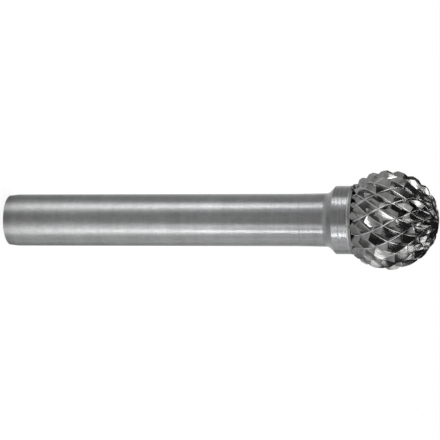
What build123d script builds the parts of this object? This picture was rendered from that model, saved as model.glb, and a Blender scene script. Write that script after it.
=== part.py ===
from build123d import *
from math import asin, cos, degrees, radians, sin, sqrt, tan
import os

# Ball-shaped carbide burr with double-cut teeth, for a rotary grinder.
# The tool stands on the free end of its shank: Z runs along its axis, from that end up to the tip.
# All sizes are in millimetres and all angles in degrees.

# Shank
shank_diameter = 6.35          # quarter-inch collet size
shank_length = 40.4            # free end to the foot of the cone
end_chamfer_length = 1.1
end_chamfer_depth = 0.13
end_edge_break = 0.09          # the edge of the end face itself
flare_length = 3.9             # the last stretch of the shank swells a little towards the cone
flare_growth = 0.06            # on the radius

# Collar that carries the head
collar_diameter = 8.25
collar_length = 1.89
cone_angle = 45.0              # between the cone and the tool's axis
cone_root_radius = 0.9
collar_edge_break = 0.12

# Silver-solder joint between the collar and the head
braze_thickness = 0.12
braze_bulge = 0.03             # the solder stands a little proud of the collar

# Carbide head
ball_diameter = 12.0           # over the tooth tips
grinding_allowance = 0.04      # the ball is turned this much too large, and the flutes take it off
neck_length = 0.31             # plain band that the flutes stop against

# First cut: right-hand flutes, each with a steep face in front of the tooth and a long relief behind it
flute_pairs = 10
flute_depth = 0.66
rake_share = 0.404             # of the pitch
flute_phase = 6.13             # turn of the first flute at the equator
flute_lead = 58.9              # turn per 100 degrees of latitude, as it crosses the equator
flute_bend = -45.6             # how that turn slackens towards the tip
flute_tightening = 65.1        # how it then tightens near both ends

# Second cut: left-hand chip-breaking grooves across the flutes
breaker_count = 15
breaker_depth = 0.68
breaker_share = 0.613          # of its pitch, at the tooth tips
breaker_lean = 0.416           # of its width, on the side of the floor that faces the tip
breaker_phase = 8.26
breaker_lead = -48.9
breaker_bend = -11.3

# Latitudes on the ball, from its equator towards the tip
cut_start = -58.0
breaker_end = 80.0
short_flute_end = 68.0         # every second flute runs out here, and its neighbour widens
long_flute_end = 86.0
section_step = 14.0            # latitude between two profiles of a cutter
cutter_rise = 0.45             # a cutter's flanks go on past the tooth tips by this share of their width

# Sizes that follow from the ones above
shank_radius = shank_diameter / 2
flare_radius = shank_radius + flare_growth
collar_radius = collar_diameter / 2
ball_radius = ball_diameter / 2
blank_radius = ball_radius + grinding_allowance
collar_start = shank_length + (collar_radius - flare_radius) / tan(radians(cone_angle))
collar_end = collar_start + collar_length
head_start = collar_end + braze_thickness
ball_center = head_start + sqrt(ball_radius**2 - collar_radius**2)
flute_pitch = 360 / (2 * flute_pairs)
breaker_pitch = 360 / breaker_count


def flute_turn(latitude):
    """Turn of a right-hand flute about the tool's axis, on its way from the collar to the tip."""
    way = latitude / 100
    return flute_phase + flute_lead * way + flute_bend * way**2 + flute_tightening * way**3


def breaker_turn(latitude):
    """Turn of a left-hand chip breaker about the tool's axis."""
    way = latitude / 100
    return breaker_phase + breaker_lead * way + breaker_bend * way**2


def cutter_latitudes(end):
    """Where a cutter's profiles stand: evenly spaced, and closer together than the section step."""
    count = int((end - cut_start) / section_step) + 1
    return [cut_start + (end - cut_start) * index / count for index in range(count + 1)]


def groove_section(latitude, turn, depth, behind, ahead, runs_out):
    """A V profile across a groove, in the plane that holds the ball's centre and the groove's floor.

    The flanks meet the ball's surface at the turns behind and ahead of the floor.  Grooves grow
    narrower and shallower where they crowd together towards the tip.  Where a groove runs out, the
    whole profile is lifted clear of the ball, as the wheel is.
    """
    crowding = cos(radians(latitude))
    lift = depth * sqrt(crowding) + 2 * grinding_allowance if runs_out else 0.0
    outward = Vector(crowding * sin(radians(turn)), -crowding * cos(radians(turn)), sin(radians(latitude)))
    across = Vector(cos(radians(turn)), sin(radians(turn)), 0)
    surface = ball_radius + lift
    floor = Vector(surface - depth * sqrt(crowding), 0)
    corners = [floor]
    for angle in (radians(-behind * crowding), radians(ahead * crowding)):
        tooth_tip = Vector(surface * cos(angle), surface * sin(angle))
        corners.append(floor + (tooth_tip - floor) * (1 + cutter_rise))
    with BuildSketch(Plane((0, 0, ball_center), x_dir=outward, z_dir=outward.cross(across))) as section:
        with BuildLine():
            Polyline(*corners, close=True)
        make_face()
    return section.sketch


def flute_cutter(end):
    """The space that the wheel sweeps as it grinds one flute, up to the latitude where it ends."""
    rake_width = rake_share * flute_pitch
    sections = []
    for latitude in cutter_latitudes(end):
        pitch = flute_pitch if latitude <= short_flute_end else 2 * flute_pitch
        runs_out = latitude == end == short_flute_end
        sections.append(groove_section(latitude, flute_turn(latitude), flute_depth,
                                       rake_width, pitch - rake_width, runs_out))
    with BuildPart() as cutter:
        loft(sections)
    return cutter.part


def breaker_cutter(end):
    """The space that the wheel sweeps as it grinds one chip breaker."""
    width = breaker_share * breaker_pitch
    behind = breaker_lean * width
    with BuildPart() as cutter:
        loft([groove_section(latitude, breaker_turn(latitude), breaker_depth, behind, width - behind,
                             latitude == end)
              for latitude in cutter_latitudes(end)])
    return cutter.part


# Shank with its flare, cone and collar, turned in one piece
with BuildPart() as shank:
    with BuildSketch(Plane.XZ) as shank_profile:
        with BuildLine():
            Polyline(
                (0, 0),
                (shank_radius - end_chamfer_depth, 0),
                (shank_radius, end_chamfer_length),
                (shank_radius, shank_length - flare_length),
                (flare_radius, shank_length),
                (collar_radius, collar_start),
                (collar_radius, collar_end),
                (0, collar_end),
                close=True,
            )
        make_face()
        corners = shank_profile.vertices().filter_by(lambda corner: corner.X > shank_radius / 2)
        end_edge, end_shoulder, flare_foot, cone_root, cone_top, collar_edge = corners.sort_by(Axis.Y)
        chamfer(end_edge, end_edge_break)
        fillet(cone_root, cone_root_radius)
        chamfer(cone_top, collar_edge_break)
    revolve(axis=Axis.Z)

shank.part.label = "shank"

# Disc of silver solder, face to face with the collar and the head
with BuildPart() as braze_joint:
    with BuildSketch(Plane.XY.offset(collar_end)):
        Circle(collar_radius + braze_bulge)
    extrude(amount=braze_thickness)

braze_joint.part.label = "braze_joint"

# Solid carbide head: a turned ball, fluted one way, then the other, with a plain band at its foot
long_flute = flute_cutter(long_flute_end)
short_flute = flute_cutter(short_flute_end)
breaker = breaker_cutter(breaker_end)

with BuildPart() as cutting_head:
    back_latitude = degrees(asin((ball_center - head_start) / blank_radius))
    with BuildSketch(Plane.XZ):
        with BuildLine():
            outline = CenterArc((0, ball_center), blank_radius, -back_latitude, 90 + back_latitude)
            Polyline(outline @ 1, (0, head_start), outline @ 0)
        make_face()
    revolve(axis=Axis.Z)
    with PolarLocations(0, flute_pairs):
        add(long_flute, mode=Mode.SUBTRACT)
    with PolarLocations(0, flute_pairs, start_angle=flute_pitch):
        add(short_flute, mode=Mode.SUBTRACT)
    with PolarLocations(0, breaker_count):
        add(breaker, mode=Mode.SUBTRACT)
    with BuildSketch(Plane.XY.offset(head_start)):
        Circle(collar_radius)
    extrude(amount=neck_length)

cutting_head.part.label = "cutting_head"

os.makedirs("parts", exist_ok=True)
for piece in (shank, braze_joint, cutting_head):
    export_step(piece.part, f"parts/{piece.part.label}.step")
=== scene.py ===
# %% [markdown]
# # A ball-shaped carbide burr
#
# A rotary burr is a hardened cutting head on a plain steel shank.  The head is tungsten carbide,
# ground with one set of spiral flutes and a second set of grooves across them.  It is brazed to a
# short collar at the end of the shank.
#
# The solids come from the frame.  This script gives them their finish and adds what a grinding wheel
# leaves behind: the rounded floor of every groove, hollow flanks, wheel marks and turned rings.

# %% Load the frame
import math

import bmesh
import bpy
from mathutils import Matrix, Vector


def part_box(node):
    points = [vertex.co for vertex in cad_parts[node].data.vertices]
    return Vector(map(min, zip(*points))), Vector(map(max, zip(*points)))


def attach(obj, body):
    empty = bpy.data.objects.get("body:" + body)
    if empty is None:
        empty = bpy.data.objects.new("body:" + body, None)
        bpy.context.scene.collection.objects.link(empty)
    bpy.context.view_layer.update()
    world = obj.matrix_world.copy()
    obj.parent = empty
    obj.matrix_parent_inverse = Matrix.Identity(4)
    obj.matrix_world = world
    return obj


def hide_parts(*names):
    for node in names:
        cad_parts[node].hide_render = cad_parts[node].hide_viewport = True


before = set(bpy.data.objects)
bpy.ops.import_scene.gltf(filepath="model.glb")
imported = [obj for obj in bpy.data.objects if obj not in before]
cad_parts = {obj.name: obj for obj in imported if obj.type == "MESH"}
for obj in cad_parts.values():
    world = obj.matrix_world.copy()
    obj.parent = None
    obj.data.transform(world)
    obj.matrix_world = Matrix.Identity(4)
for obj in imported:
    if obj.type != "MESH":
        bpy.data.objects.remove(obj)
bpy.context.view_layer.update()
print("nodes:", ", ".join(sorted(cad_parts)))

MM = 0.001


# %% [markdown]
# ## Camera
#
# The tool stands on the end of its shank, and the view looks at its side from a little above, with
# the picture turned so that the tool lies across it.  A wide lens close by would make the head look
# much larger than the far end of the shank.  A long lens from a third of a metre away keeps the two
# nearly in proportion, as a catalogue picture does.

# %% Camera
PICTURE_SIDE = 440
FOCAL_LENGTH_PIXELS = 2600
SENSOR_WIDTH = 36.0
CAMERA_DISTANCE = 317 * MM
CAMERA_ELEVATION = math.radians(13.4)
AIM_HEIGHT = 26.8 * MM

lens = bpy.data.cameras.new("camera")
lens.sensor_width = SENSOR_WIDTH
lens.lens = SENSOR_WIDTH * FOCAL_LENGTH_PIXELS / PICTURE_SIDE
lens.clip_start = 0.01
camera = bpy.data.objects.new("camera", lens)
bpy.context.scene.collection.objects.link(camera)
bpy.context.scene.camera = camera

backward = Vector((0, -math.cos(CAMERA_ELEVATION), math.sin(CAMERA_ELEVATION)))
rightward = Vector((0, math.sin(CAMERA_ELEVATION), math.cos(CAMERA_ELEVATION)))
upward = backward.cross(rightward)
camera.matrix_world = Matrix((rightward, upward, backward)).transposed().to_4x4()
camera.location = Vector((0, 0, AIM_HEIGHT)) + backward * CAMERA_DISTANCE
print("lens in mm:", round(lens.lens, 1))


# %% [markdown]
# ## Shader expressions
#
# Every finish below is a node tree, and node trees are easier to read as arithmetic.  They could be
# wired by hand, one node and one link at a time, but the idea soon drowns in the wiring.  Here a
# Socket wraps one output of a node, and Python's own operators add the Math nodes.  Every other node
# comes from one method, which takes the node's type, its settings and what goes into its sockets.

# %% One value on its way through a node tree
class Socket:
    """A number or a colour that a node gives out."""

    def __init__(self, tree, output):
        self.tree = tree
        self.output = output

    def _math(self, operation, *values):
        return self.tree.node("ShaderNodeMath", {"operation": operation}, dict(enumerate(values)))

    def __add__(self, other):
        return self._math("ADD", self, other)

    def __sub__(self, other):
        return self._math("SUBTRACT", self, other)

    def __rsub__(self, other):
        return self._math("SUBTRACT", other, self)

    def __mul__(self, other):
        return self._math("MULTIPLY", self, other)

    def __abs__(self):
        return self._math("ABSOLUTE", self)

    def between(self, low, high, start=0.0, end=1.0):
        """Carries low..high to start..end and stays inside it."""
        return self.tree.node("ShaderNodeMapRange", {"clamp": True},
                              {"Value": self, "From Min": low, "From Max": high,
                               "To Min": start, "To Max": end})

    __radd__ = __add__
    __rmul__ = __mul__


print("operators:", ", ".join(name for name in vars(Socket) if name.startswith("__r")))


# %% Node trees
class NodeTree:
    """A node tree, with one method that adds any node to it."""

    def __init__(self, tree):
        self.nodes = tree.nodes
        self.links = tree.links

    def node(self, kind, settings=None, sockets=None, output=0):
        made = self.nodes.new(kind)
        for setting, value in (settings or {}).items():
            setattr(made, setting, value)
        for name, value in (sockets or {}).items():
            self.feed(made.inputs[name], value)
        return Socket(self, made.outputs[output])

    def feed(self, target, value):
        if isinstance(value, Socket):
            self.links.new(value.output, target)
        else:
            target.default_value = value

    def position(self):
        """Object coordinates in millimetres, as three sockets."""
        place = self.node("ShaderNodeTexCoord", output="Object")
        parts = [self.node("ShaderNodeSeparateXYZ", None, {0: place}, output=axis) for axis in "XYZ"]
        return [part * 1000 for part in parts]

    def noise(self, place, pace, detail=2.0, roughness=0.5):
        """Noise at a place in millimetres.  The pace is its number of changes per millimetre, by axis."""
        where = self.node("ShaderNodeCombineXYZ", None,
                          {axis: part * scale for axis, (part, scale) in enumerate(zip(place, pace))})
        return self.node("ShaderNodeTexNoise", None,
                         {"Vector": where, "Scale": 1.0, "Detail": detail, "Roughness": roughness})

    def mix(self, share, first, second):
        """A colour between two others."""
        return self.node("ShaderNodeMix", {"data_type": "RGBA"},
                         {"Factor": share, 6: first, 7: second}, output=2)

    def shaded(self, colour, share, low, high):
        """A colour multiplied by a grey between low and high."""
        grey = self.mix(share, (low, low, low, 1), (high, high, high, 1))
        return self.node("ShaderNodeMix", {"data_type": "RGBA", "blend_type": "MULTIPLY"},
                         {"Factor": 1.0, 6: colour, 7: grey}, output=2)

    def bump(self, height):
        """A normal from a height in millimetres."""
        return self.node("ShaderNodeBump", None, {"Height": height, "Distance": MM, "Strength": 1.0})


print("helper methods:", ", ".join(name for name in vars(NodeTree) if not name.startswith("_")))


# %% Surface finishes
class Finish(NodeTree):
    """A material made from a Principled surface and whatever drives it."""

    def __init__(self, name):
        self.material = bpy.data.materials.new(name)
        self.material.use_nodes = True
        super().__init__(self.material.node_tree)
        self.surface = self.nodes["Principled BSDF"]

    def set(self, **values):
        """Sets or links sockets of the surface, as in Base_Color=..."""
        for name, value in values.items():
            self.feed(self.surface.inputs[name.replace("_", " ")], value)


print("added by a finish:", ", ".join(name for name in vars(Finish) if not name.startswith("_")))


# %% [markdown]
# ## The cutting head
#
# On the real tool a ball of carbide is ground twice.  A first set of right-hand flutes makes long
# sharp teeth, each with a steep face in front and a long relief behind.  Every second flute stops
# short of the tip, where its neighbour widens to take its place.  A second set of left-hand grooves,
# the chip breakers, cuts the long teeth into short ones.
#
# The head could be sculpted or displaced, but both blur the tooth edges.  Grinding it as the wheels
# do keeps them crisp, and it needs only the sizes of the two grooves and the path that each follows
# over the ball.

# %% Sizes of the head
BALL_RADIUS = 6.0
GRINDING_ALLOWANCE = 0.04
NECK_RADIUS = 4.125
NECK_LENGTH = 0.31
FLUTE_PAIRS = 10
FLUTE_DEPTH = 0.66
RAKE_SHARE = 0.404
BREAKER_COUNT = 15
BREAKER_DEPTH = 0.68
BREAKER_SHARE = 0.613
BREAKER_LEAN = 0.416
CUT_START, BREAKER_END, SHORT_FLUTE_END, LONG_FLUTE_END = -58.0, 80.0, 68.0, 86.0

head_low, head_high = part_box("cutting_head")
HEAD_START = head_low.z / MM
BALL_CENTER = head_high.z / MM - BALL_RADIUS - GRINDING_ALLOWANCE
FLUTE_PITCH = 180 / FLUTE_PAIRS
BREAKER_PITCH = 360 / BREAKER_COUNT
print("ball centre at", round(BALL_CENTER, 3), "mm, flutes every", FLUTE_PITCH, "degrees")


# %% Paths of the two sets of grooves
FLUTE_PATH = (6.13, 58.9, -45.6, 65.1)
BREAKER_PATH = (8.26, -48.9, -11.3, 0.0)


def turn_at(path, way):
    """Turn about the tool's axis, in degrees, at a way from the ball's equator (latitude / 100)."""
    start, lead, bend, tightening = path
    return way * (way * (way * tightening + bend) + lead) + start


flute_turn = turn_at(FLUTE_PATH, 0.8) - turn_at(FLUTE_PATH, -0.4)
print("a flute turns", round(flute_turn), "degrees from back to tip")


# %% [markdown]
# ## One groove's cutter
#
# A groove is a V with a narrow rounded floor, because the rim of a real wheel is never quite sharp.
# That floor catches a thin bright line of light along every groove, and a painted highlight in its
# finish makes that line brighter.
#
# A curve with a bevel profile could sweep the V, but its profile turns with the curve and its width
# can't follow the crowding of the grooves towards the tip.  Here one triangle is extruded from
# station to station along the path, and its floor edge is bevelled round at the end.  The flanks go
# on past the ball's surface, so that the cutter always comes out of it.

# %% One profile across a groove
CUTTER_RISE = 0.45


def groove_profile(latitude, path, depth, behind, ahead, lift_share):
    """The floor and the two upper corners of a V, in the plane through the ball's centre."""
    crowding = math.cos(math.radians(latitude))
    turn = math.radians(turn_at(path, latitude / 100))
    height_share = math.sin(math.radians(latitude))
    outward = Vector((crowding * math.sin(turn), -crowding * math.cos(turn), height_share))
    across = Vector((math.cos(turn), math.sin(turn), 0))
    height = depth * math.sqrt(crowding)
    surface = BALL_RADIUS + lift_share * (height + 2 * GRINDING_ALLOWANCE)
    floor = outward * (surface - height)
    corners = []
    for angle in (-behind, ahead):
        reach = math.radians(angle * crowding)
        tooth_tip = (outward * math.cos(reach) + across * math.sin(reach)) * surface
        corners.append(floor + (tooth_tip - floor) * (1 + CUTTER_RISE))
    return [floor, *corners]


flat_profile = groove_profile(0, FLUTE_PATH, FLUTE_DEPTH, 7, 11, 0)
print("profile width in mm:", round((flat_profile[1] - flat_profile[2]).length, 2))


# %% Carry a profile along its groove
def carried(profiles, step_length, widths):
    """A solid that runs through a list of triangular profiles, with its floor edges picked out.

    Its UV map holds the way along the groove and across it, both in millimetres, so that wheel marks
    can follow the groove later.
    """
    shape = bmesh.new()
    face = shape.faces.new([shape.verts.new(corner) for corner in profiles[0]])
    groove_map = shape.loops.layers.uv.new("along the groove")
    place_on_map = {corner: (0, across) for corner, across in zip(face.verts, widths)}
    floor_line = [face.verts[0]]
    for step, profile in enumerate(profiles[1:], start=1):
        last_face = face
        grown = bmesh.ops.extrude_face_region(shape, geom=[face])["geom"]
        face = next(item for item in grown if isinstance(item, bmesh.types.BMFace))
        if step > 1:
            bmesh.ops.delete(shape, geom=[last_face], context="FACES_ONLY")
        for corner, place, across in zip(face.verts, profile, widths):
            corner.co = place
            place_on_map[corner] = (step * step_length, across)
        floor_line.append(face.verts[0])
    for face in shape.faces:
        for loop in face.loops:
            loop[groove_map].uv = place_on_map[loop.vert]
    bmesh.ops.recalc_face_normals(shape, faces=shape.faces)
    floor_edges = [edge for edge in shape.edges
                   if edge.verts[0] in floor_line and edge.verts[1] in floor_line]
    return shape, floor_edges


moved_profile = [corner + Vector((0, 0, 1)) for corner in flat_profile]
sample, sample_floor = carried([flat_profile, moved_profile], 1, (0, 0, 0))
print("faces on a cutter of one step:", len(sample.faces), "and floor edges:", len(sample_floor))
sample.free()


# %% Ease from one width or height to another
def eased(latitude, start, end):
    """Runs smoothly from 0 at one latitude to 1 at another."""
    share = min(1.0, max(0.0, (latitude - start) / (end - start)))
    return share * share * (3 - 2 * share)


print("halfway up an ease:", eased(50, 0, 100))


# %% Sweep a cutter
SECTION_STEP = 3.0
FADE = 14.0
WHEEL_RIM_WIDTH = 0.1
RIM_STEPS = 4


def cutter(name, path, depth, behind, ahead, end, lifted, wide_from, finish):
    """One groove's cutter as an object: a V with a rounded floor, swept from the collar to its end."""
    stations = round((end - CUT_START) / SECTION_STEP)
    profiles = []
    for station in range(stations + 1):
        latitude = CUT_START + (end - CUT_START) * station / stations
        wider = 1 + eased(latitude, wide_from, wide_from + FADE)
        lift = eased(latitude, end - FADE, end) if lifted else 0
        profiles.append(groove_profile(latitude, path, depth, behind,
                                       (behind + ahead) * wider - behind, lift))
    step_length = BALL_RADIUS * math.radians((end - CUT_START) / stations)
    widths = [0, -BALL_RADIUS * math.radians(behind), BALL_RADIUS * math.radians(ahead)]
    shape, floor_edges = carried(profiles, step_length, widths)
    for face in shape.faces:
        face.material_index = finish
    bmesh.ops.bevel(shape, geom=floor_edges, offset=WHEEL_RIM_WIDTH, segments=RIM_STEPS, profile=0.5,
                    affect="EDGES", material=-1)
    mesh = bpy.data.meshes.new(name)
    shape.to_mesh(mesh)
    shape.free()
    return bpy.data.objects.new(name, mesh)


print("degrees between profiles:", SECTION_STEP)


# %% Cutters for the flutes and the chip breakers
FLUTE_FACE, BREAKER_FACE = 1, 2
NO_WIDENING = 90

rake_width = RAKE_SHARE * FLUTE_PITCH
relief_width = FLUTE_PITCH - rake_width
breaker_width = BREAKER_SHARE * BREAKER_PITCH
breaker_behind = BREAKER_LEAN * breaker_width
breaker_ahead = breaker_width - breaker_behind
long_flute = cutter("long flute", FLUTE_PATH, FLUTE_DEPTH, rake_width, relief_width,
                    LONG_FLUTE_END, False, SHORT_FLUTE_END - FADE / 2, FLUTE_FACE)
short_flute = cutter("short flute", FLUTE_PATH, FLUTE_DEPTH, rake_width, relief_width,
                     SHORT_FLUTE_END, True, NO_WIDENING, FLUTE_FACE)
breaker = cutter("chip breaker", BREAKER_PATH, BREAKER_DEPTH, breaker_behind, breaker_ahead,
                 BREAKER_END, True, NO_WIDENING, BREAKER_FACE)
print("faces on one cutter:", len(long_flute.data.polygons))


# %% [markdown]
# ## Grinding
#
# On the machine the ball turns from tooth to tooth under the wheel.  Here each cutter is copied and
# turned about the tool's axis, and a Boolean takes every copy away from the turned ball.  The
# fluting could be drawn as a texture, but the teeth stand out of the ball's outline, so they have to
# be real.  The Manifold solver is quick and keeps each face's material and its map of the groove.

# %% Place a cutter
MARKS_APART = 31


def placed(original, turn, number):
    """A copy of a cutter, turned about the tool's axis, with its own stretch of wheel marks."""
    copy = bpy.data.objects.new(original.name, original.data.copy())
    copy.data.transform(Matrix.Rotation(math.radians(turn), 4, "Z"))
    for corner in copy.data.uv_layers[0].data:
        corner.uv.x += MARKS_APART * number
    bpy.context.scene.collection.objects.link(copy)
    return copy


print("millimetres of wheel marks kept apart:", MARKS_APART)


# %% Show a shape and combine it with others
def shown(name, shape):
    """Puts a bmesh into the scene as an object."""
    made = bpy.data.objects.new(name, bpy.data.meshes.new(name))
    shape.to_mesh(made.data)
    shape.free()
    bpy.context.scene.collection.objects.link(made)
    return made


def combined(target, operation, tools):
    """Joins tools to a target or takes them away, and returns the new mesh."""
    for tool in tools:
        step = target.modifiers.new(operation, "BOOLEAN")
        step.operation = operation
        step.solver = "MANIFOLD"
        step.object = tool
    mesh = bpy.data.meshes.new_from_object(target.evaluated_get(bpy.context.evaluated_depsgraph_get()))
    for used in [target, *tools]:
        bpy.data.objects.remove(used)
    return mesh


print("cuts to make:", 2 * FLUTE_PAIRS + BREAKER_COUNT)


# %% Grind the ball
ROUND_SEGMENTS = 120

blank = bmesh.new()
bmesh.ops.create_uvsphere(blank, u_segments=ROUND_SEGMENTS, v_segments=ROUND_SEGMENTS // 2,
                          radius=BALL_RADIUS + GRINDING_ALLOWANCE)
everything = blank.verts[:] + blank.edges[:] + blank.faces[:]
rim = bmesh.ops.bisect_plane(blank, geom=everything, plane_co=(0, 0, HEAD_START - BALL_CENTER),
                             plane_no=(0, 0, 1), clear_inner=True)["geom_cut"]
bmesh.ops.contextual_create(blank, geom=[item for item in rim if isinstance(item, bmesh.types.BMEdge)])
bmesh.ops.recalc_face_normals(blank, faces=blank.faces)
blank.loops.layers.uv.new("along the groove")
wheels = [placed(long_flute, 2 * FLUTE_PITCH * index, index) for index in range(FLUTE_PAIRS)]
wheels += [placed(short_flute, 2 * FLUTE_PITCH * index + FLUTE_PITCH, index + FLUTE_PAIRS)
           for index in range(FLUTE_PAIRS)]
wheels += [placed(breaker, BREAKER_PITCH * index, index + 2 * FLUTE_PAIRS)
           for index in range(BREAKER_COUNT)]
ground = bpy.data.objects.new("ground", combined(shown("ball", blank), "DIFFERENCE", wheels))
bpy.context.scene.collection.objects.link(ground)
print("faces on the ground ball:", len(ground.data.polygons))


# %% [markdown]
# ## The plain neck
#
# The flutes stop against a plain band at the foot of the head, where it meets the solder.  The band
# could be left out of the cutters' way, but they run out over it on the real tool too, and a plain
# disc joined to the ground ball gives the same clean edge.
#
# The fine cutters leave tooth tips a few thousandths of a millimetre prouder than the coarse ones of
# the plain solid, so the whole head is drawn in by a little more than that.
#
# Where grooves cross, the cuts can leave a few slivers thinner than a hair.  They can't be seen, but
# a printed or measured mesh should be one closed shell, so the small shells are deleted.

# %% Keep one clean shell
def without_slivers(mesh):
    """Deletes the few loose slivers that crossing cuts leave, and keeps the largest shell."""
    shape = bmesh.new()
    shape.from_mesh(mesh)
    unseen, shells = set(shape.faces), []
    while unseen:
        shell = [unseen.pop()]
        for face in shell:
            for neighbour in (other for edge in face.edges for other in edge.link_faces):
                if neighbour in unseen:
                    unseen.remove(neighbour)
                    shell.append(neighbour)
        shells.append(shell)
    shells.sort(key=len)
    slivers = [face for shell in shells[:-1] for face in shell]
    bmesh.ops.delete(shape, geom=slivers, context="FACES")
    shape.to_mesh(mesh)
    shape.free()
    return len(slivers)


print("slivers on one cutter:", without_slivers(breaker.data))


# %% Add the plain neck and bring the head to its place
DRAWN_IN = 0.999

neck = bmesh.new()
bmesh.ops.create_cone(neck, cap_ends=True, segments=ROUND_SEGMENTS, radius1=NECK_RADIUS,
                      radius2=NECK_RADIUS, depth=NECK_LENGTH)
bmesh.ops.translate(neck, verts=neck.verts, vec=(0, 0, HEAD_START + NECK_LENGTH / 2 - BALL_CENTER))
neck.loops.layers.uv.new("along the groove")
head_mesh = combined(ground, "UNION", [shown("neck", neck)])
head_mesh.transform(Matrix.Scale(MM, 4) @ Matrix.Translation((0, 0, BALL_CENTER))
                    @ Matrix.Diagonal((DRAWN_IN, DRAWN_IN, 1, 1)))
head_mesh.name = "burr_head"
print("loose slivers deleted:", without_slivers(head_mesh))
print("triangles on the head:", sum(len(face.vertices) - 2 for face in head_mesh.polygons))


# %% [markdown]
# ## Crisp corners
#
# A ground facet is flat up to its edge, while the floor of a groove is round.  Smooth shading alone
# would smear light round the facets, and flat shading would break the floors into strips.  So every
# corner sharper than 30 degrees is marked sharp, and Weighted Normal lets the large facets decide
# how the rest is shaded.

# %% Turn the head into a piece that stands for its solid
SHARPEST_SMOOTH_TURN = math.radians(30)
FLAT_FACET_WEIGHT = 90


def dressed(name, mesh, finishes, node):
    """A piece that stands for a CAD node, with crisp corners and the finishes in its slots."""
    mesh.materials[0] = finishes[0]
    for finish in finishes[1:]:
        mesh.materials.append(finish)
    mesh.shade_smooth()
    mesh.set_sharp_from_angle(angle=SHARPEST_SMOOTH_TURN)
    piece = bpy.data.objects.new(name, mesh)
    bpy.context.scene.collection.objects.link(piece)
    flatten = piece.modifiers.new("flat facets", "WEIGHTED_NORMAL")
    flatten.mode = "FACE_AREA"
    flatten.weight = FLAT_FACET_WEIGHT
    flatten.keep_sharp = True
    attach(piece, "root")
    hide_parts(node)
    return piece


print("corners stay sharp above", round(math.degrees(SHARPEST_SMOOTH_TURN)), "degrees")


# %% [markdown]
# ## Ground carbide
#
# Ground carbide is a dark bright metal.  The wheel leaves fine marks that run along each groove, and
# because the wheel is round, every flank is slightly hollow.  A flat facet would show one even tone,
# while a hollow one gathers a soft gradient.
#
# The marks could be painted in an image, but a noise stretched along the groove's own map follows
# every turn of the spiral and never repeats.  It moves the normal and the roughness.  The chip
# breakers are ground last, with a slightly coarser wheel, so they get a finish of their own.

# %% Finish of the ground faces
COARSE_PACE, FINE_PACE, PATCH_PACE = (0.8, 4.0, 1), (1.5, 22, 1), (0.9, 1.2, 1)
HOLLOW = 0.07
HOLLOW_WIDTH = 1.2
# Painted highlight: the colour is made paler along each groove's floor.
FLOOR_HIGHLIGHT_WIDTHS = (0.03, 0.1)
PALEST = 1.8
FLOOR_HIGHLIGHT_GAIN = 1.7


def ground_carbide(name, colour, roughness, coarse_depth, fine_depth):
    """A dark metal with wheel marks along the groove.  Depths are in millimetres."""
    finish = Finish(name)
    place = finish.node("ShaderNodeUVMap", {"uv_map": "along the groove"})
    along = finish.node("ShaderNodeSeparateXYZ", None, {0: place}, output="X")
    across = finish.node("ShaderNodeSeparateXYZ", None, {0: place}, output="Y")
    coarse = finish.noise((along, across, 0), COARSE_PACE, roughness=0.6)
    fine = finish.noise((along, across, 3), FINE_PACE)
    patches = finish.noise((along, across, 5), PATCH_PACE, detail=1)
    flank = abs(across)
    hollow = flank * (flank - HOLLOW_WIDTH) * HOLLOW
    colour = finish.shaded(colour, patches.between(0.3, 0.7), 1, PALEST)
    # The colour is lifted along each groove's floor and fades out a tenth of a millimetre away: a painted
    # highlight for the thin bright line there.
    finish.set(Base_Color=finish.shaded(colour, flank.between(*FLOOR_HIGHLIGHT_WIDTHS), FLOOR_HIGHLIGHT_GAIN, 1),
               Metallic=1.0,
               Roughness=fine.between(0.3, 0.7, roughness * 0.75, roughness * 1.4),
               Normal=finish.bump(coarse * coarse_depth + fine * fine_depth + hollow))
    return finish.material


fluted = ground_carbide("fluted carbide", (0.115, 0.115, 0.113, 1), 0.14, 0.018, 0.003)
broken = ground_carbide("cross-ground carbide", (0.13, 0.13, 0.13, 1), 0.16, 0.016, 0.003)
print("ground finishes:", fluted.name, "and", broken.name)


# %% [markdown]
# ## Turned carbide
#
# The neck is turned and never ground, so it is duller and carries fine rings round the tool.  Rings
# are a noise that changes quickly along the axis and slowly across it.  A Wave texture could draw
# them too, but its rings are all alike.

# %% Finish of the plain faces
TURNED_COLOUR = (0.19, 0.19, 0.195, 1)
TURNED_RINGS = 0.01
TURNED_RING_PACE, STAIN_PACE = (0.3, 0.3, 12), (1.1, 1.1, 3)

plain = Finish("turned carbide")
place = plain.position()
rings = plain.noise(place, TURNED_RING_PACE)
stains = plain.noise(place, STAIN_PACE)
plain.set(Base_Color=plain.shaded(TURNED_COLOUR, stains.between(0.3, 0.7), 0.75, 1.2), Metallic=1.0,
          Roughness=rings.between(0.3, 0.7, 0.4, 0.55), Normal=plain.bump(rings * TURNED_RINGS))
head = dressed("burr_head", head_mesh, [plain.material, fluted, broken], "cutting_head")
print("slots on the head:", ", ".join(slot.name for slot in head.material_slots))


# %% [markdown]
# ## Ground steel
#
# The shank is ground between two wheels while it spins, so its marks run round it.  Such a surface
# stretches every highlight along the tool, which is why a shank shows long bright bands.  A plain
# rough metal would give short round glints instead.  The Principled surface does this with its
# Anisotropic value, turned a quarter so that the stretch runs along the axis.
#
# The steel's colour darkens a little towards the head, its rubbed free end is rougher, and the turned
# collar carries coarser rings than the shank.  The chamfer at the free end is darker in colour: a
# painted shade for the dark floor that it mirrors at the foot.

# %% Finish of the shank
SHANK_TOP, COLLAR_LOW = 40.4, 41.29
FREE_END_COLOUR = (0.32, 0.323, 0.325, 1)
COLLAR_COLOUR = (0.2, 0.202, 0.205, 1)
SHANK_RINGS, COLLAR_RINGS = 0.007, 0.035
# Heights of the painted shade at the free end's chamfer.
CHAMFER_SHADE_HEIGHTS = (0.6, 1.3)
DARKER_FROM = 4
RUBBED_LENGTH = 36
RING_PACE, BROAD_PACE, GRAIN_PACE = (0.12, 0.12, 4.0), (0.2, 0.2, 0.6), (3, 3, 1.4)

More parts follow.
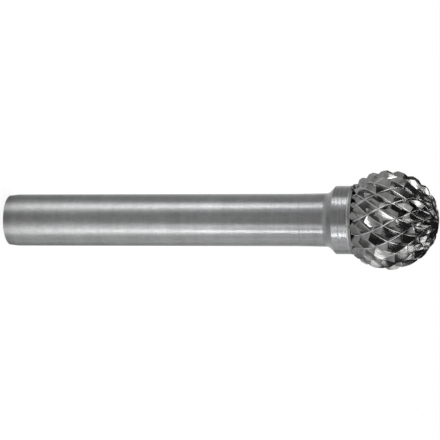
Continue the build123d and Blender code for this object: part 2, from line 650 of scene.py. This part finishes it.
steel = Finish("ground steel")
x, y, z = steel.position()
rings = steel.noise((x, y, z), RING_PACE, detail=3, roughness=0.7)
broad = steel.noise((x, y, z), BROAD_PACE)
grain = steel.noise((x, y, z), GRAIN_PACE, detail=3, roughness=0.6)
on_collar = z.between(SHANK_TOP, COLLAR_LOW)
# The colour runs from the free end's tone to the darker collar tone towards the head.
colour = steel.mix(z.between(DARKER_FROM, SHANK_TOP), FREE_END_COLOUR, COLLAR_COLOUR)
colour = steel.shaded(colour, rings.between(0.3, 0.7), 0.95, 1.06)
colour = steel.shaded(colour, (broad + grain).between(0.7, 1.3), 0.88, 1.12)
# Painted shade: the colour is darker at the chamfer of the free end, for the dark floor that it mirrors
# at the foot.
colour = steel.shaded(colour, z.between(*CHAMFER_SHADE_HEIGHTS), 0.78, 1)
steel.set(Base_Color=colour, Metallic=1.0,
          Roughness=rings.between(0.3, 0.7, 0.27, 0.33) + z.between(0, RUBBED_LENGTH, 0.36, 0),
          Anisotropic=0.9, Anisotropic_Rotation=0.25,
          Normal=steel.bump(rings * on_collar.between(0, 1, SHANK_RINGS, COLLAR_RINGS)))
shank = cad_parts["shank"]
shank.data.materials.clear()
shank.data.materials.append(steel.material)
print("steel nodes:", len(steel.nodes))


# %% [markdown]
# ## Silver solder
#
# The joint between steel and carbide is a thin seam of silver solder.  It sets with a soft, slightly
# lumpy skin and stays a little warmer in colour than the two metals.  A second material on the
# shank could paint it, but the seam is a solid of its own in the frame, so it only needs its finish.

# %% Finish of the solder seam
DULL_SOLDER, BRIGHT_SOLDER = (0.2, 0.2, 0.2, 1), (0.3, 0.295, 0.28, 1)
LUMP_HEIGHT = 0.05
LUMP_PACE, TARNISH_PACE = (2.2, 2.2, 2.2), (0.7, 0.7, 0.7)

solder = Finish("silver solder")
place = solder.position()
lumps = solder.noise(place, LUMP_PACE, detail=3)
tarnish = solder.noise(place, TARNISH_PACE)
solder.set(Base_Color=solder.mix(tarnish.between(0.35, 0.65), DULL_SOLDER, BRIGHT_SOLDER), Metallic=1.0,
           Roughness=lumps.between(0.3, 0.7, 0.42, 0.6), Normal=solder.bump(lumps * LUMP_HEIGHT))
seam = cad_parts["braze_joint"]
seam.data.materials.clear()
seam.data.materials.append(solder.material)
print("finishes:", ", ".join(material.name for material in bpy.data.materials if material.users))


# %% [markdown]
# ## Stage
#
# Polished metal shows its surroundings, so the stage matters as much as the finish.  The floor is
# plain and pale, and a bright floor would normally need a very bright lamp.  The Light Path node
# avoids that: to the camera and in reflections the floor glows white, while lamps only shade it.
#
# Metal that mirrors white alone looks like plastic.  So the floor's glow that the teeth mirror is a
# painted pool of light, bright near the tool and falling off with distance as a sheet of paper under a
# lamp would, and the room above is dark.  Facets that mirror the dark parts stand next to bright ones.

# %% Floor
FLOOR_SIZE = 6.0
FLOOR_GLOW = 0.85
PAINTED_POOL_NEAR, PAINTED_POOL_FAR = 110, 360
PAPER_COLOUR = (0.85, 0.85, 0.85, 1)
NEAR_COLOUR = (1, 1, 1, 1)
FAR_COLOUR = (0.22, 0.22, 0.22, 1)

floor_shape = bmesh.new()
bmesh.ops.create_grid(floor_shape, x_segments=1, y_segments=1, size=FLOOR_SIZE / 2)
floor = shown("stage_floor", floor_shape)
pale = Finish("pale floor")
pale.set(Base_Color=PAPER_COLOUR, Roughness=0.9)
seen, mirrored, refracted = [pale.node("ShaderNodeLightPath", output=name)
                             for name in ("Is Camera Ray", "Is Glossy Ray", "Is Transmission Ray")]
x, y, z = pale.position()
# Painted pool of light: the glow seen in reflections fades from white near the tool to grey far away.
painted_fall_off = (x * x + y * y).between(PAINTED_POOL_NEAR * PAINTED_POOL_NEAR, PAINTED_POOL_FAR * PAINTED_POOL_FAR) * (1 - seen)
glow = pale.node("ShaderNodeEmission", None,
                 {"Color": pale.mix(painted_fall_off, NEAR_COLOUR, FAR_COLOUR), "Strength": 1.0})
lit = Socket(pale, pale.surface.outputs[0])
surface = pale.node("ShaderNodeMixShader", None,
                    {0: (seen + mirrored + refracted) * FLOOR_GLOW, 1: lit, 2: glow})
pale.feed(pale.nodes["Material Output"].inputs["Surface"], surface)
floor.data.materials.append(pale.material)
print("floor in metres:", round(floor.dimensions.x, 1))


# %% Room
HORIZON_COLOUR = (0.2, 0.2, 0.2, 1)
CEILING_COLOUR = (0.05, 0.05, 0.05, 1)
HORIZON_FADE = (0.04, 0.16)

room = bpy.data.worlds.new("studio")
room.use_nodes = True
bpy.context.scene.world = room
walls = NodeTree(room.node_tree)
direction = walls.node("ShaderNodeTexCoord", output="Generated")
height = walls.node("ShaderNodeSeparateXYZ", None, {0: direction}, output="Z")
walls.feed(walls.nodes["Background"].inputs["Color"],
           walls.mix(height.between(*HORIZON_FADE), HORIZON_COLOUR, CEILING_COLOUR))
print("world:", bpy.context.scene.world.name)


# %% [markdown]
# ## Lights
#
# Long soft boxes on both sides light the tool as in a small product studio.  Each has a brighter
# tube inside it, so that reflections fade at their edges, and a few small high strips pick out the
# teeth round the tip.  Two low ones light the facets that lean down.  One sun lamp lights the floor
# and draws the shadow, and is kept out of reflections, where it would leave white specks.
#
# The steel is rougher than the teeth and spreads what it mirrors, so its bands would stay dull in
# light that suits the head.  Two lights that reach only the steel parts make up for it, as a
# photographer would with a grid over the lamp.

# %% One soft box
LIGHT_DISTANCE = 300
HEAD_MIDDLE = 48


def softbox(name, azimuth, elevation, wide, tall, radiance):
    """A soft light that faces the head.  Azimuth 0 is on the camera's side, and sizes are angles."""
    lamp = bpy.data.lights.new(name, "AREA")
    lamp.shape = "RECTANGLE"
    lamp.size = 2 * LIGHT_DISTANCE * MM * math.tan(math.radians(wide / 2))
    lamp.size_y = 2 * LIGHT_DISTANCE * MM * math.tan(math.radians(tall / 2))
    lamp.energy = radiance * math.pi * lamp.size * lamp.size_y
    light = bpy.data.objects.new(name, lamp)
    turn, rise = math.radians(azimuth), math.radians(elevation)
    outward = Vector((math.cos(rise) * math.sin(turn), -math.cos(rise) * math.cos(turn), math.sin(rise)))
    sideways = Vector((0, 0, 1)).cross(outward).normalized()
    light.matrix_world = Matrix((sideways, outward.cross(sideways), outward)).transposed().to_4x4()
    light.location = (outward * LIGHT_DISTANCE + Vector((0, 0, HEAD_MIDDLE))) * MM
    bpy.context.scene.collection.objects.link(light)
    return light


print("soft boxes stand", LIGHT_DISTANCE, "mm away")


# %% Soft boxes
softbox("left softbox", -60, 12, 50, 34, 1.1)
softbox("left tube", -60, 20, 12, 40, 7.5)
softbox("right softbox", 36, 14, 40, 34, 1.8)
softbox("right tube", 30, 20, 12, 26, 5.5)
softbox("far right softbox", 70, 6, 10, 20, 4.0)
softbox("low right softbox", 90, -1, 24, 14, 2.8)
softbox("low front softbox", 30, -3, 16, 8, 2.4)
softbox("back right softbox", 113, 12, 14, 30, 3.0)
softbox("front softbox", -10, 36, 14, 12, 2.4)
softbox("high right softbox", 78, 39, 24, 17, 2.0)
softbox("high left strip", -104, 69, 12, 12, 5.5)
softbox("high front strip", 34, 65, 11, 12, 5.0)
softbox("high right strip", 55, 78, 10, 8, 5.0)
softbox("back left softbox", -152, 14, 16, 40, 2.0)


# %% Lights for the steel
steel_parts = bpy.data.collections.new("steel parts")
for part in (shank, seam):
    steel_parts.objects.link(part)
left_shank_light = softbox("left shank light", -68, 22, 22, 50, 5.6)
right_shank_light = softbox("right shank light", 53, 24, 11, 50, 17)
for light in (left_shank_light, right_shank_light):
    light.light_linking.receiver_collection = steel_parts


# %% Sun
SUN_ENERGY = 3.3
SUN_WIDTH = math.radians(18)
SUN_DIRECTION = Vector((0.05, 0.17, 0.98))

sun = bpy.data.lights.new("overhead", "SUN")
sun.energy = SUN_ENERGY
sun.angle = SUN_WIDTH
overhead = bpy.data.objects.new("overhead", sun)
overhead.rotation_euler = SUN_DIRECTION.to_track_quat("Z", "Y").to_euler()
overhead.visible_glossy = False
bpy.context.scene.collection.objects.link(overhead)
bpy.context.scene.view_settings.view_transform = "Standard"
print("view transform:", bpy.context.scene.view_settings.view_transform)


# %% [markdown]
# ## Size and finish
#
# The finished tool must still fit the space of its solids, because other parts are designed round
# them.
